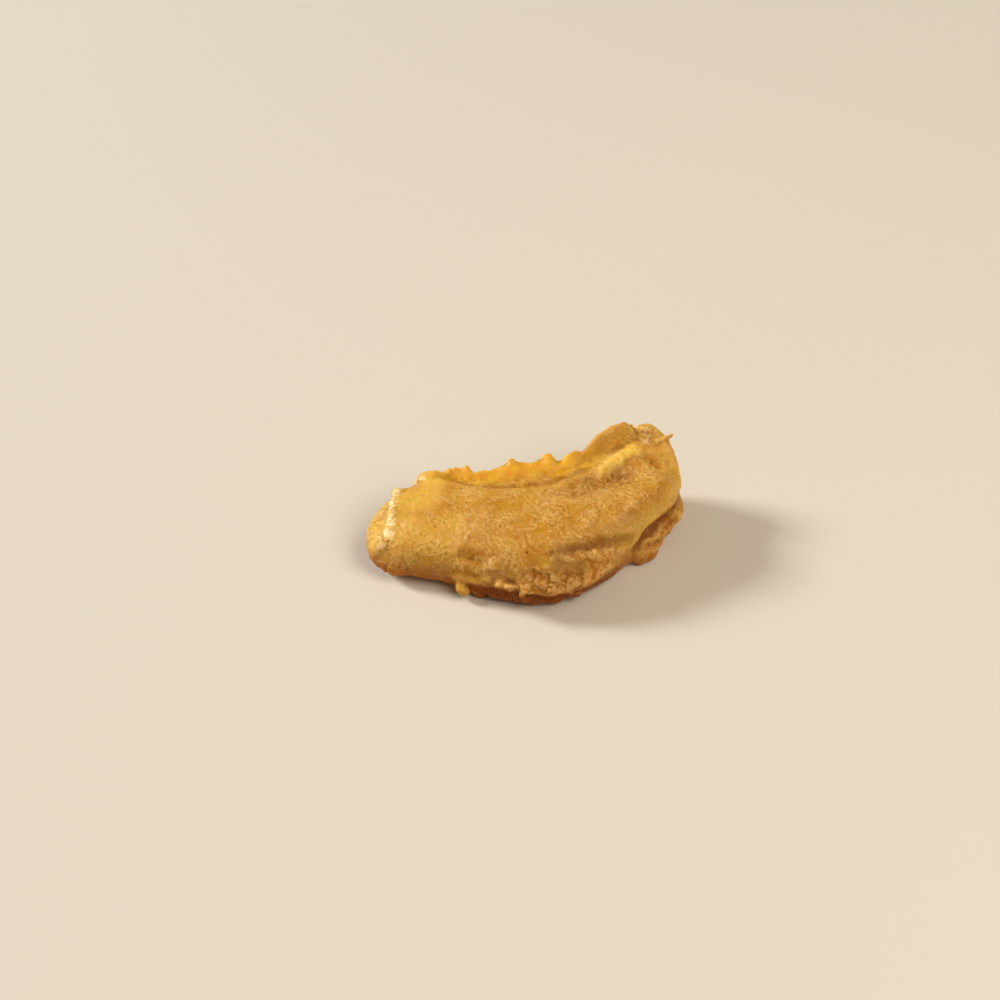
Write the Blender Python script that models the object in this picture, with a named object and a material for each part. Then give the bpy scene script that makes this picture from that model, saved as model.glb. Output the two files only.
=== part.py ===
"""Fried fish fillet in batter, one solid piece, laid flat with its shown face up.

Metres, +Z up. X runs along the fillet, from its blunt low end to its lifted lobe, -Y is the edge towards
the viewer and +Y the far edge. The origin is under the middle of the fillet, on the surface it rests on.
"""

import math

import bmesh
import bpy
import numpy as np
from mathutils import Matrix, Vector, noise
from mathutils.bvhtree import BVHTree

MM = 0.001

# Driving sizes of the whole piece
LENGTH = 112.0 * MM
THICKNESS = 25.0 * MM
FIN_THICKNESS = 1.9 * MM
FLAP_THICKNESS = 4.0 * MM
SEED = 7

# Resolution of the sculpted skin and of the finished solid, and the height pressed flat on the plate
VOXEL = 0.6 * MM
SOLID_TRIANGLES = 9600
FLAT_BAND = 0.2 * MM

# Middle of the footprint, in millimetres, in the layout that the points below are given in
MIDDLE = (0.39, -2.80)

# Profiles along the fillet: a share of the length, then the edge's distance from the X axis in millimetres
NEAR_EDGE = ((0.0, 5.0), (0.03, -1.0), (0.08, -5.8), (0.14, -9.3), (0.20, -12.5), (0.28, -17.5),
             (0.38, -23.8), (0.46, -28.0), (0.56, -30.0), (0.65, -28.2), (0.72, -24.5), (0.79, -20.0),
             (0.86, -14.5), (0.92, -11.2), (0.97, -7.0), (1.0, 3.0))
FAR_EDGE = ((0.0, 5.0), (0.03, 14.2), (0.09, 19.6), (0.145, 22.4), (0.24, 24.5), (0.34, 19.5), (0.46, 14.5),
            (0.60, 12.5), (0.70, 14.0), (0.80, 17.5), (0.90, 20.0), (0.96, 17.5), (0.985, 10.5), (1.0, 3.0))
# A share of the length, then a share of the thickness: the top, the underside and how high the edges lie
CROWN = ((0.0, 0.36), (0.04, 0.54), (0.10, 0.68), (0.16, 0.79), (0.28, 0.90), (0.42, 0.96), (0.55, 1.0),
         (0.70, 1.04), (0.82, 1.08), (0.90, 1.10), (0.96, 1.02), (1.0, 0.60))
BELLY = ((0.0, 0.36), (0.05, 0.17), (0.12, 0.08), (0.22, 0.0), (0.32, -0.06), (0.75, -0.06), (0.88, 0.0),
         (0.95, 0.14), (1.0, 0.60))
NEAR_HEIGHT = ((0.0, 0.36), (0.10, 0.26), (0.25, 0.30), (0.50, 0.38), (0.70, 0.46), (0.82, 0.66),
               (0.92, 0.74), (1.0, 0.60))
FAR_HEIGHT = ((0.0, 0.36), (0.10, 0.50), (0.25, 0.66), (0.50, 0.68), (0.70, 0.74), (0.85, 0.84), (0.95, 0.86),
              (1.0, 0.60))
# Roundness of a section's four quarters: 2 is an ellipse, more is boxier. The near upper one gets boxier
# towards the lobe, whose face stays flat up to its lip
TOP_NEAR = ((0.0, 2.4), (0.55, 2.4), (0.78, 3.0), (0.88, 3.8), (0.95, 3.6), (1.0, 2.6))
TOP_FAR, UNDER_FAR, UNDER_NEAR = 2.9, 2.5, 3.7
# How many sections, points in each, and how far before the tips the sections stop, in radians
STATIONS, AROUND, TIP_GAP = 120, 96, 0.02

# The thin fin of batter along the far edge: where it leaves the face, and its ragged tip
FIN_ROOT = ((-27, 18.5, 16), (-18, 15.5, 17), (-11, 12.5, 18), (-4, 10.5, 18.5), (1, 9.5, 19), (6, 8.5, 19.5),
            (12.5, 8, 20), (16, 8.5, 20), (21, 9.5, 20), (26, 11, 19))
FIN_TIP = ((-27, 24, 18), (-17, 24, 21.5), (-11.2, 20.4, 20.8), (-3.6, 20.2, 22.5), (0.5, 20.8, 24),
           (5.6, 18.8, 23), (12.9, 20, 25.2), (15.8, 16.6, 23.2), (21, 18.4, 25), (26, 17.5, 24))
# The flap that stands up at the far side of the lobe
FLAP_ROOT = ((23, 11, 18), (28, 12, 18), (33, 13, 19), (38, 14, 20), (43, 14.5, 21), (46, 14, 22))
FLAP_TIP = ((23.5, 17.2, 22.5), (27.5, 19.3, 26.5), (31.5, 20.6, 29.2), (37, 21.3, 31.0), (41.5, 21.5, 31.2),
            (45, 20, 28.5))

# Swollen edges: points along each, then its radius there
RIM = ((45.5, 18.7, 26.8), (48.5, 18.2, 27.3), (51.5, 15, 26.3), (53.2, 9.7, 24.8), (54, 3.5, 22.2),
       (53.6, -3, 18.8))
RIM_RADII = (2.6, 3.6, 3.2, 2.5, 2.2, 2.0)
LOBE_LIP = ((53.0, -1.5, 20.5), (49.8, -6.7, 20.0), (43.7, -10.7, 18.8), (38.1, -14.2, 17.8),
            (32, -18.2, 15.8))
LOBE_LIP_RADII = (2.2, 2.3, 2.5, 2.5, 1.8)
SHELF = ((54, 2.5, 13), (54.4, -4.5, 10), (50, -8.5, 7.5), (45.5, -11.5, 5.5), (40.5, -15.5, 3.5),
         (35, -17.5, 2))
SHELF_RADII = (1.8, 2.2, 1.8, 1.8, 2.0, 1.8)
LIP = ((-30, -13.5, 7.5), (-26, -16, 8), (-19, -19.5, 8.5), (-13, -22.8, 9), (-5.4, -26.6, 9.5),
       (1, -29.2, 9.5), (7.5, -29.6, 9.5), (15, -28, 10), (22, -25, 10.5), (27, -22, 10))
LIP_RADII = (1.6, 2.4, 2.3, 2.3, 2.6, 2.8, 2.7, 2.6, 2.2, 1.4)

# Lumps of batter: where, centre, radii and turn about Z in degrees
BEADS = (
    ("foot of the lobe", (34.5, -4.5, 3.8), (15.5, 14.5, 5.2), -12),
    ("far corner of the lobe", (46.0, 15.0, 20.5), (5.5, 4.5, 7.0), 0),
    ("side of the lobe", (50.0, 10.0, 20.0), (3.6, 6.0, 5.5), 0),
    ("nub under the lobe", (42.0, -13.2, 8.6), (3.0, 2.0, 2.6), 0),
    ("nose at the low end", (-50.8, 2.5, 10.8), (4.2, 3.8, 3.7), 0),
    ("nub at the low end", (-41.0, 21.6, 15.8), (2.2, 2.0, 2.2), 0),
    ("shoulder", (-29.5, 22.0, 16.8), (5.5, 5.0, 4.0), 0),
    ("ledge by the pocket", (-16.2, -19.9, 16.3), (2.4, 1.8, 1.6), 0),
    ("skirt", (16.1, -24.6, 17.6), (3.0, 2.2, 2.0), 0),
    ("skirt", (20.5, -23.6, 16.6), (2.6, 2.0, 2.0), 0),
    ("drip", (-26.4, -16.2, 4.2), (2.2, 1.6, 1.8), 0),
    ("drip", (-12.0, -25.2, 9.3), (1.7, 1.5, 1.6), 0),
    ("drip", (-7.6, -27.2, 6.3), (1.4, 1.3, 1.9), 0),
    ("drip", (10.6, -28.9, 4.4), (2.2, 1.6, 2.0), 0),
)

# What a thumb would draw up or press in: where, half-width, height (negative for a hollow), the size of the
# lumps where it is foamy rather than even, and the path, in millimetres
STROKES = (
    ("end ridge", 1.7, 0.9, 0,
     ((-41.5, 20, 17), (-43, 16, 17.5), (-45, 11, 17), (-46.5, 6, 16.5), (-48, 2.5, 15.5))),
    ("end facet", 2.8, -1.0, 0, ((-51.5, 8.5, 13.5), (-48.5, 13, 15), (-45, 17.5, 15.5))),
    ("end crust", 3.0, 0.6, 3.0, ((-52, 4, 12), (-50, 9, 13.5), (-46, 16, 15.5))),
    ("shoulder valley", 2.6, -0.7, 0, ((-39, 17.5, 19), (-34.5, 14, 20.5), (-29, 10, 21.6))),
    ("fin crease", 1.4, -1.4, 0,
     ((-26.5, 21, 20), (-19.5, 17.5, 21), (-11.5, 12.5, 22), (-1, 9.5, 23), (9, 7.5, 24), (18.5, 8, 24.5),
      (24, 9.5, 24.5))),
    ("ragged fin", 3.2, 0.9, 3.6,
     ((-27, 23, 18), (-17, 22, 21.5), (-4, 19, 22.5), (6, 18, 23), (13, 18, 24.5), (21, 17.5, 25))),
    ("middle of the face", 9.0, 0.7, 0, ((-26, -1.5, 22), (-12, -6, 23.5))),
    ("trough", 2.6, -1.1, 0, ((23.5, 8.5, 25.5), (26.5, 1.5, 26), (33, -1, 26.5), (41, 0.5, 27))),
    ("fold ridge", 2.2, 1.7, 0, ((27, 3, 26), (31, 7.0, 26), (35, 9.2, 26.5), (42, 11, 27))),
    ("fold valley", 1.8, -1.2, 0,
     ((23.2, 11, 24.5), (27.5, 12.2, 24.5), (32, 13.6, 25), (36.5, 14.6, 25.5), (42, 15.2, 26.5))),
    ("rim crease", 1.8, -1.3, 0, ((44, 10.5, 27.5), (48.5, 3.5, 26.5), (51.0, -1.5, 24), (52.0, -5, 21.5))),
    ("right of the face", 6.0, 0.8, 0, ((32, -14, 24), (42, -8, 25.5))),
    ("pocket", 1.6, -1.7, 0, ((-25, -15, 15.6), (-21.5, -16.3, 16), (-18, -17.3, 16.6))),
    ("groove", 1.7, -2.0, 0,
     ((3.5, -23.8, 20.5), (8, -23.5, 20.6), (16.5, -23, 20.5), (21.3, -22.2, 20), (26.5, -21, 18.8),
      (32, -19.4, 17.3))),
    ("hollow", 2.2, -1.6, 0, ((5, -27.5, 16.5), (8.4, -28, 15.5), (13, -27.3, 15.5))),
    ("foamy skirt", 3.6, 1.3, 3.6,
     ((-5, -27, 14), (2, -28.5, 14.5), (9, -28.5, 14.5), (16, -26.5, 16), (24, -24, 15.5))),
    ("crinkled lip", 1.8, 1.2, 3.2,
     ((-28, -16.5, 9.5), (-19, -21, 10), (-11, -25.5, 11), (0, -31, 11.2), (9, -31, 11.5), (16, -29.5, 12),
      (23, -26.5, 12))),
    ("undercut", 1.5, -2.6, 0,
     ((54.5, -2.5, 16), (49.5, -8.8, 13.6), (45.5, -11.2, 12.8), (42.1, -13, 12.3), (39, -14.8, 11.3),
      (34, -18.2, 10.2))),
    ("lower shelf", 3.2, 0.9, 4.0, ((54, -3, 9), (47, -13, 6), (38, -19, 4))),
    ("low end wall", 3.0, 0.6, 5.0, ((-55, 6, 8), (-47, -5, 5), (-36, -10, 4))),
    ("far wall", 4.5, 1.5, 5.5,
     ((-46, 18, 8), (-28, 22, 8), (-12, 13, 8), (6, 10, 9), (24, 12, 9), (44, 17, 9))),
    ("far foot", 2.4, 1.6, 4.0,
     ((-40, 16, 4), (-24, 18, 3), (-8, 9, 3), (12, 7, 3), (30, 10, 3), (45, 12, 5))),
    ("lobe wall", 4.0, 1.3, 5.0, ((46, 17, 12), (52, 10, 12), (55, 4, 12))),
)
# A foamy stroke rises by this share of its height, plus or minus its lumps' share
FOAM_RISE, FOAM_LUMPS = 0.3, 1.6
# A stroke fades to this share of its height over this much of its length at each end
END_SHARE, END_LENGTH = 0.25, 0.3
# Uneven batter all over: size and height of each layer of relief, in millimetres
RELIEF = ((20.0, 0.7), (9.0, 0.45), (4.5, 0.24))


def smooth_profile(pairs):
    """A smooth function through the pairs that never overshoots them, with round ends."""
    share = np.array([p[0] for p in pairs])
    knots = np.arcsin(2 * share - 1)
    values = np.array([p[1] for p in pairs])
    steps = np.diff(knots)
    slopes = np.diff(values) / steps
    tangents = np.empty(len(values))
    tangents[0], tangents[-1] = slopes[0], slopes[-1]
    for i in range(1, len(values) - 1):
        before, after = slopes[i - 1], slopes[i]
        tangents[i] = 0.0 if before * after <= 0 else 2 * before * after / (before + after)

    def at(turn):
        i = int(np.clip(np.searchsorted(knots, turn) - 1, 0, len(steps) - 1))
        h = steps[i]
        s = (turn - knots[i]) / h
        return ((2 * s**3 - 3 * s**2 + 1) * values[i] + (s**3 - 2 * s**2 + s) * h * tangents[i]
                + (3 * s**2 - 2 * s**3) * values[i + 1] + (s**3 - s**2) * h * tangents[i + 1])

    return at


def section(turn, profiles):
    """The points of one cross-section; turn is -90 degrees at the low end and 90 at the lobe."""
    near, far, top, under, near_z, far_z, top_near = (p(turn) for p in profiles)
    x = LENGTH / 2 * math.sin(turn)
    y_near, y_far = near * MM, far * MM
    y_mid = (y_near + y_far) / 2
    points = []
    for angle in np.linspace(0, 2 * math.pi, AROUND, endpoint=False):
        c, s = math.cos(angle), math.sin(angle)
        side, side_z = (y_far, far_z) if c >= 0 else (y_near, near_z)
        if s >= 0:
            power = TOP_FAR if c >= 0 else top_near
        else:
            power = UNDER_FAR if c >= 0 else UNDER_NEAR
        crown = top if s >= 0 else under
        out, up = abs(c) ** (2 / power), abs(s) ** (2 / power)
        points.append(Vector((x, y_mid + (side - y_mid) * out, (side_z + (crown - side_z) * up) * THICKNESS)))
    return points


def skin_over(bm, rings):
    """Joins rings of points, all with the same count, into a closed skin."""
    rings = [[bm.verts.new(p) for p in ring] for ring in rings]
    for left, right in zip(rings, rings[1:]):
        for k in range(len(left)):
            after = (k + 1) % len(left)
            bm.faces.new((left[k], left[after], right[after], right[k]))
    bm.faces.new(rings[0][::-1])
    bm.faces.new(rings[-1])


def add_core(bm):
    """The fish and its even coat of batter."""
    shapes = (NEAR_EDGE, FAR_EDGE, CROWN, BELLY, NEAR_HEIGHT, FAR_HEIGHT, TOP_NEAR)
    profiles = [smooth_profile(pairs) for pairs in shapes]
    last = math.pi / 2 - TIP_GAP
    skin_over(bm, [section(turn, profiles) for turn in np.linspace(-last, last, STATIONS)])


def curve_through(points, steps):
    """A smooth open curve through the points, each with as many numbers as it needs (Catmull-Rom)."""
    p = np.array(points, float)
    p = np.vstack([2 * p[0] - p[1], p, 2 * p[-1] - p[-2]])
    found = []
    for i in range(1, len(p) - 2):
        for s in np.arange(steps) / steps:
            found.append(0.5 * (2 * p[i] + (p[i + 1] - p[i - 1]) * s
                                + (2 * p[i - 1] - 5 * p[i] + 4 * p[i + 1] - p[i + 2]) * s**2
                                + (3 * p[i] - p[i - 1] - 3 * p[i + 1] + p[i + 2]) * s**3))
    found.append(p[-2])
    return np.array(found)


def ring_at(centre, a, b, around=16):
    """An oval ring of points round a centre, with half-axes a and b."""
    turns = np.linspace(0, 2 * math.pi, around, endpoint=False)
    return [centre + a * math.cos(t) + b * math.sin(t) for t in turns]


def add_ribbon(bm, roots, tips, thickness, steps=8):
    """A thin fin of batter from a root line to a ragged tip line: a flat oval swept along both."""
    root, tip = curve_through(roots, steps) * MM, curve_through(tips, steps) * MM
    last = len(root) - 1
    rings = []
    for i in range(last + 1):
        reach = Vector((tip[i] - root[i]) / 2)
        ahead = Vector(root[min(i + 1, last)] - root[max(i - 1, 0)])
        across = ahead.cross(reach).normalized() * thickness / 2
        rings.append(ring_at(Vector((root[i] + tip[i]) / 2), reach, across))
    skin_over(bm, rings)


def add_rope(bm, points, radii, steps=6):
    """A round swollen edge: a tube whose radius changes along its path."""
    line = curve_through([(*p, r) for p, r in zip(points, radii)], steps) * MM
    last = len(line) - 1
    rings = []
    for i, (x, y, z, radius) in enumerate(line):
        ahead = Vector(line[min(i + 1, last)][:3] - line[max(i - 1, 0)][:3]).normalized()
        side = ahead.cross(Vector((0, 0, 1))).normalized()
        rings.append(ring_at(Vector((x, y, z)), side * float(radius), side.cross(ahead) * float(radius)))
    skin_over(bm, rings)


def add_bead(bm, centre, radii, yaw):
    """A rounded lump of batter."""
    place = Matrix.Translation(Vector(centre) * MM) @ Matrix.Rotation(math.radians(yaw), 4, "Z")
    stretch = Matrix.Diagonal((*(r * MM for r in radii), 1))
    bmesh.ops.create_icosphere(bm, subdivisions=3, radius=1, matrix=place @ stretch)


def fuse(name, bm, voxel):
    """One closed skin round everything in bm, with an even grid of faces."""
    mesh = bpy.data.meshes.new(name)
    bmesh.ops.recalc_face_normals(bm, faces=bm.faces)
    bm.to_mesh(mesh)
    bm.free()
    obj = bpy.data.objects.new(name, mesh)
    bpy.context.scene.collection.objects.link(obj)
    remesh = obj.modifiers.new("fuse", "REMESH")
    remesh.mode = "VOXEL"
    remesh.voxel_size = voxel
    smooth = obj.modifiers.new("smooth", "SMOOTH")
    smooth.factor = 0.5
    smooth.iterations = 6
    bpy.context.view_layer.update()
    fused = bpy.data.meshes.new_from_object(obj.evaluated_get(bpy.context.evaluated_depsgraph_get()))
    obj.modifiers.clear()
    obj.data = fused
    return obj


def skin_arrays(mesh):
    """A mesh's points and point normals as arrays."""
    points = np.empty(len(mesh.vertices) * 3)
    normals = np.empty(len(mesh.vertices) * 3, np.float32)
    mesh.vertices.foreach_get("co", points)
    mesh.vertex_normals.foreach_get("vector", normals)
    return points.reshape(-1, 3), normals.reshape(-1, 3).astype(float)


def lumps(points, size, layer):
    """Smooth noise at the points, from -1 to 1, with lumps of the given size in millimetres."""
    shift = Vector((SEED, SEED * 2 * layer, SEED / 2))
    return np.array([noise.noise(Vector(p) / (size * MM) + shift) for p in points])


def closeness(points, tree, path, width):
    """1 on a path laid on the skin, falling like a bell to 0 away from it and at the path's two ends."""
    line = np.array([tree.find_nearest(Vector(p))[0] for p in curve_through(path, 6) * MM])
    nearest = np.full(len(points), np.inf)
    along = np.zeros(len(points))
    for i, (a, b) in enumerate(zip(line, line[1:])):
        ab = b - a
        t = np.clip((points - a) @ ab / max(ab @ ab, 1e-12), 0, 1)
        distance = np.linalg.norm(points - (a + t[:, None] * ab), axis=1)
        closer = distance < nearest
        nearest = np.where(closer, distance, nearest)
        along = np.where(closer, (i + t) / (len(line) - 1), along)
    ends = np.clip(np.minimum(along, 1 - along) / END_LENGTH, 0, 1)
    ends = END_SHARE + (1 - END_SHARE) * ends**2 * (3 - 2 * ends)
    return ends * np.exp(-0.5 * (nearest / (width * MM)) ** 2)


def sculpt(obj):
    """Works the strokes and then the uneven relief into the fused skin."""
    mesh = obj.data
    for layer, (_, width, height, size, path) in enumerate(STROKES):
        points, normals = skin_arrays(mesh)
        tree = BVHTree.FromPolygons([Vector(p) for p in points], [p.vertices[:] for p in mesh.polygons])
        rise = height * closeness(points, tree, path, width)
        if size:
            rise *= FOAM_RISE + FOAM_LUMPS * lumps(points, size, layer)
        mesh.vertices.foreach_set("co", (points + normals * rise[:, None] * MM).ravel())
        mesh.update()
    points, normals = skin_arrays(mesh)
    for layer, (size, height) in enumerate(RELIEF):
        points += normals * (lumps(points, size, layer) * height * MM)[:, None]
    mesh.vertices.foreach_set("co", points.ravel())
    mesh.update()


def settle(obj):
    """Presses what reaches below the surface that the fillet rests on, or barely above it, flat on to it."""
    for vertex in obj.data.vertices:
        if vertex.co.z < FLAT_BAND:
            vertex.co.z = 0.0
    obj.data.update()


def lighten(obj, triangles):
    """Keeps the form with far fewer triangles."""
    decimate = obj.modifiers.new("lighten", "DECIMATE")
    decimate.ratio = triangles / sum(len(p.vertices) - 2 for p in obj.data.polygons)
    decimate.use_collapse_triangulate = True
    bpy.context.view_layer.update()
    light = bpy.data.meshes.new_from_object(obj.evaluated_get(bpy.context.evaluated_depsgraph_get()))
    obj.modifiers.clear()
    obj.data = light


def batter():
    """The golden fried crust."""
    material = bpy.data.materials.new("fried_batter")
    material.use_nodes = True
    shader = material.node_tree.nodes["Principled BSDF"]
    shader.inputs["Base Color"].default_value = (0.66, 0.36, 0.09, 1.0)
    shader.inputs["Roughness"].default_value = 0.42
    shader.inputs["Metallic"].default_value = 0.0
    return material


def main():
    for old in list(bpy.data.objects):
        bpy.data.objects.remove(old)
    bm = bmesh.new()
    add_core(bm)
    add_ribbon(bm, FIN_ROOT, FIN_TIP, FIN_THICKNESS)
    add_ribbon(bm, FLAP_ROOT, FLAP_TIP, FLAP_THICKNESS)
    add_rope(bm, RIM, RIM_RADII)
    add_rope(bm, LOBE_LIP, LOBE_LIP_RADII)
    add_rope(bm, SHELF, SHELF_RADII)
    add_rope(bm, LIP, LIP_RADII)
    for _, centre, radii, yaw in BEADS:
        add_bead(bm, centre, radii, yaw)
    fillet = fuse("fillet", bm, VOXEL)
    sculpt(fillet)
    settle(fillet)
    lighten(fillet, SOLID_TRIANGLES)
    settle(fillet)
    fillet.data.transform(Matrix.Translation((-MIDDLE[0] * MM, -MIDDLE[1] * MM, 0)))
    fillet.data.shade_smooth()
    fillet.data.materials.append(batter())


main()
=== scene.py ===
# %% [markdown]
# # A battered and fried fish fillet
#
# The real thing is one curved piece of white fish, dipped in a thin batter and fried until the batter has
# set into a golden, slightly oily crust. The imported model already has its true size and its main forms.
# This lesson gives it the crust that a cook would know: wrinkles where the batter ran, foam where it
# boiled, small set drops, and a skin that lets some light through.

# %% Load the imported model
import math
import bmesh
import bpy
import numpy as np
from mathutils import Matrix, Vector
from mathutils.noise import noise_vector, seed_set


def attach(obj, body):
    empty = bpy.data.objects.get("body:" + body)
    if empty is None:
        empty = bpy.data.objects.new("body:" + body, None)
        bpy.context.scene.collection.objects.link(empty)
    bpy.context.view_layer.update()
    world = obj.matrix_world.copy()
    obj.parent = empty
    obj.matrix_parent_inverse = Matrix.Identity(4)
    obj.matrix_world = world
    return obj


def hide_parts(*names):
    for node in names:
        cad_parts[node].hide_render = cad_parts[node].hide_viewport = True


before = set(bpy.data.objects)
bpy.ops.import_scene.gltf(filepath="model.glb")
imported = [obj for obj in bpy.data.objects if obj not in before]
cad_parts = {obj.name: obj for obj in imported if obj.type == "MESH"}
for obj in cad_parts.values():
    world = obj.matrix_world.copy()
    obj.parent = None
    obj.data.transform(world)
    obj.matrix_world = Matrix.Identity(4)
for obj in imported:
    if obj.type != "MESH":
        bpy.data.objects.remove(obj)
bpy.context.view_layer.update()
MM = 0.001

# %% [markdown]
# ## The camera
#
# The camera comes first, so that every later step can be judged from where the picture was taken. It looks
# down at 47 degrees from a little to the left, through a long lens, as food is often photographed. One
# point of the crust is known to lie 25 pixels right of the middle of the picture and 12 pixels below it,
# and the camera is placed by walking back from that point along its line of sight.

# %% Camera
ELEVATION = math.radians(47)
AZIMUTH = math.radians(-14)
LENS = 85
SENSOR = 36
DISTANCE = 0.825
PICTURE = 1000
KNOWN_POINT = Vector((0.00061, 0.0081, 0.012))
KNOWN_PIXEL = (25, 12)


def camera_place():
    """Where the camera stands and how it is turned."""
    level = math.cos(ELEVATION)
    back = Vector((math.sin(AZIMUTH) * level, -math.cos(AZIMUTH) * level, math.sin(ELEVATION)))
    right = Vector((math.cos(AZIMUTH), math.sin(AZIMUTH), 0))
    up = back.cross(right)
    pixels = LENS / SENSOR * PICTURE
    sight = -back + right * (KNOWN_PIXEL[0] / pixels) - up * (KNOWN_PIXEL[1] / pixels)
    turn = Matrix((right, up, back)).transposed().to_4x4()
    return Matrix.Translation(KNOWN_POINT - sight * DISTANCE) @ turn


camera = bpy.data.objects.new("camera", bpy.data.cameras.new("camera"))
bpy.context.scene.collection.objects.link(camera)
camera.data.lens = LENS
camera.data.sensor_width = SENSOR
camera.matrix_world = camera_place()
bpy.context.scene.camera = camera
print("the camera stands at", [round(x, 3) for x in camera.matrix_world.translation])

# %% [markdown]
# ## A smooth base under the crust
#
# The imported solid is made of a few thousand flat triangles. Seen close, those facets would show, so the
# solid is copied, its loose triangles are merged, and it is remeshed to an even grid of small quads. The
# remeshed skin is put in a fixed order, because drops that are scattered over it later fall by the order of
# its faces.

# %% Remesh
BASE_GRID = 0.55 * MM
JOIN_WITHIN = 1e-6
ORDER_DECIMALS = 9


def new_object(name, mesh):
    """An object for a mesh, in the scene."""
    thing = bpy.data.objects.new(name, mesh)
    bpy.context.scene.collection.objects.link(thing)
    return thing


def baked(thing, name):
    """A plain mesh of the thing with its modifiers applied; the thing itself goes."""
    graph = bpy.context.evaluated_depsgraph_get()
    mesh = bpy.data.meshes.new_from_object(thing.evaluated_get(graph))
    mesh.name = name
    bpy.data.objects.remove(thing)
    return mesh


def points_of(mesh):
    """The mesh's points as rows of x, y, z."""
    flat = np.zeros(len(mesh.vertices) * 3)
    mesh.vertices.foreach_get("co", flat)
    return flat.reshape(-1, 3)


def in_order(mesh):
    """The same quads, with their points sorted by place and their faces by points."""
    points = points_of(mesh)
    corners = np.zeros(len(mesh.loops), int)
    mesh.loops.foreach_get("vertex_index", corners)
    order = np.lexsort(points.round(ORDER_DECIMALS).T)
    rank = np.empty_like(order)
    rank[order] = np.arange(len(order))
    quads = rank[corners].reshape(-1, 4)
    turn = quads.argmin(axis=1)[:, None] + np.arange(4)
    quads = np.take_along_axis(quads, turn % 4, axis=1)
    quads = quads[np.lexsort(quads.T[::-1])]
    sorted_mesh = bpy.data.meshes.new(mesh.name)
    sorted_mesh.from_pydata(points[order].tolist(), [], quads.tolist())
    return sorted_mesh


def remeshed(mesh, grid, name):
    """The mesh rebuilt as even quads, with all that overlaps fused into one skin."""
    thing = new_object(name, mesh)
    remesh = thing.modifiers.new("even grid", "REMESH")
    remesh.mode = "VOXEL"
    remesh.voxel_size = grid
    return in_order(baked(thing, name))


def merged_copy(node):
    """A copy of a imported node's mesh with its loose triangles joined."""
    thing = new_object("copy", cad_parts[node].data.copy())
    weld = thing.modifiers.new("join triangles", "WELD")
    weld.merge_threshold = JOIN_WITHIN
    return baked(thing, "copy")


base = remeshed(merged_copy("fillet"), BASE_GRID, "base")
print("the base has", len(base.polygons), "faces")

# %% [markdown]
# A few rounds of smoothing take away the facets: each point moves towards the mean of its neighbours. Done
# plainly, that shrinks thin parts such as the fin of batter, so each round shrinks a little and then swells
# back nearly as much, which keeps the volume. All points move at once, as rows of numbers, which is far
# quicker than one by one.

# %% Smooth base
SMOOTH_ROUNDS = 14
SHRINK = 0.5
SWELL = -0.52


def edge_ends(mesh):
    """The first and the second point of every edge."""
    edges = np.zeros(len(mesh.edges) * 2, int)
    mesh.edges.foreach_get("vertices", edges)
    return edges.reshape(-1, 2).T


def neighbour_count(first, second, count):
    """How many neighbours each point has."""
    return np.bincount(first, minlength=count) + np.bincount(second, minlength=count)


def neighbour_sum(points, first, second):
    """Each point's neighbours added up, as rows of x, y, z."""
    count = len(points)
    return np.stack([np.bincount(first, here[second], count) + np.bincount(second, here[first], count)
                     for here in points.T], axis=1)


def smoothed(mesh, rounds, steps=(SHRINK, SWELL), share=1.0):
    """Even out facets, each step moving points by a share of the way to the mean of their neighbours."""
    first, second = edge_ends(mesh)
    points = points_of(mesh)
    neighbours = neighbour_count(first, second, len(points))[:, None]
    for step in steps * rounds:
        mean = neighbour_sum(points, first, second) / neighbours
        points = points + step * share * (mean - points)
    mesh.vertices.foreach_set("co", points.ravel())
    mesh.update()


smoothed(base, SMOOTH_ROUNDS)
print("smoothed in", SMOOTH_ROUNDS, "rounds")

# %% [markdown]
# ## Where each kind of crust grows
#
# Batter does not set the same way everywhere. It foams where it hangs and boils, crinkles along lips and
# thins out into the fin. Other areas carry painted light and shade: a painted highlight where faces turn to
# the light, painted glints along the blunt end, and painted shade in grooves, undercuts and on low walls.
# Painting those areas by hand would be one way. Here each area is a short line along the form, in
# millimetres, and a point of the skin belongs to it by its distance from that line, so an area can be moved
# by moving a line.

# %% Lines along the forms
FIN_TIP = ((-27.4, 26.8, 18), (-17.4, 26.8, 21.5), (-11.6, 23.2, 20.8), (-4, 23, 22.5), (0.1, 23.6, 24),
           (5.2, 21.6, 23), (12.5, 22.8, 25.2), (15.4, 19.4, 23.2), (20.6, 21.2, 25), (25.6, 20.3, 24))
FIN_CREASE = ((-26.9, 23.8, 20), (-19.9, 20.3, 21), (-11.9, 15.3, 22), (-1.4, 12.3, 23), (8.6, 10.3, 24),
              (18.1, 10.8, 24.5), (23.6, 12.3, 24.5))
FLAP_TIP = ((23.1, 20, 22.5), (27.1, 22.1, 26.5), (31.1, 23.4, 29.2), (36.6, 24.1, 31), (41.1, 24.3, 31.2),
            (44.6, 22.8, 28.5))
FOLD_RIDGE = ((28.2, 7.1, 26.7), (30.2, 8.2, 27.6), (33, 10.4, 27.7), (35.5, 11.6, 27.9), (38.8, 14.2, 26.9),
              (41, 14.5, 26.8))
FOLD_CREST = FOLD_RIDGE[:-1] + ((41.5, 14.7, 26.8),)
RIM = ((45.1, 21.5, 26.8), (48.1, 21, 27.3), (51.1, 17.8, 26.3), (52.8, 12.5, 24.8), (53.6, 6.3, 22.2),
       (53.2, -0.2, 18.8))
LOBE_LIP = ((52.6, 1.3, 20.5), (49.4, -3.9, 20), (43.3, -7.9, 18.8), (37.7, -11.4, 17.8), (31.6, -15.4, 15.8))
UNDERCUT = ((54.1, 0.3, 16), (49.1, -6, 13.6), (45.1, -8.4, 12.8), (41.7, -10.2, 12.3), (38.6, -12, 11.3),
            (33.6, -15.4, 10.2))
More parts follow.
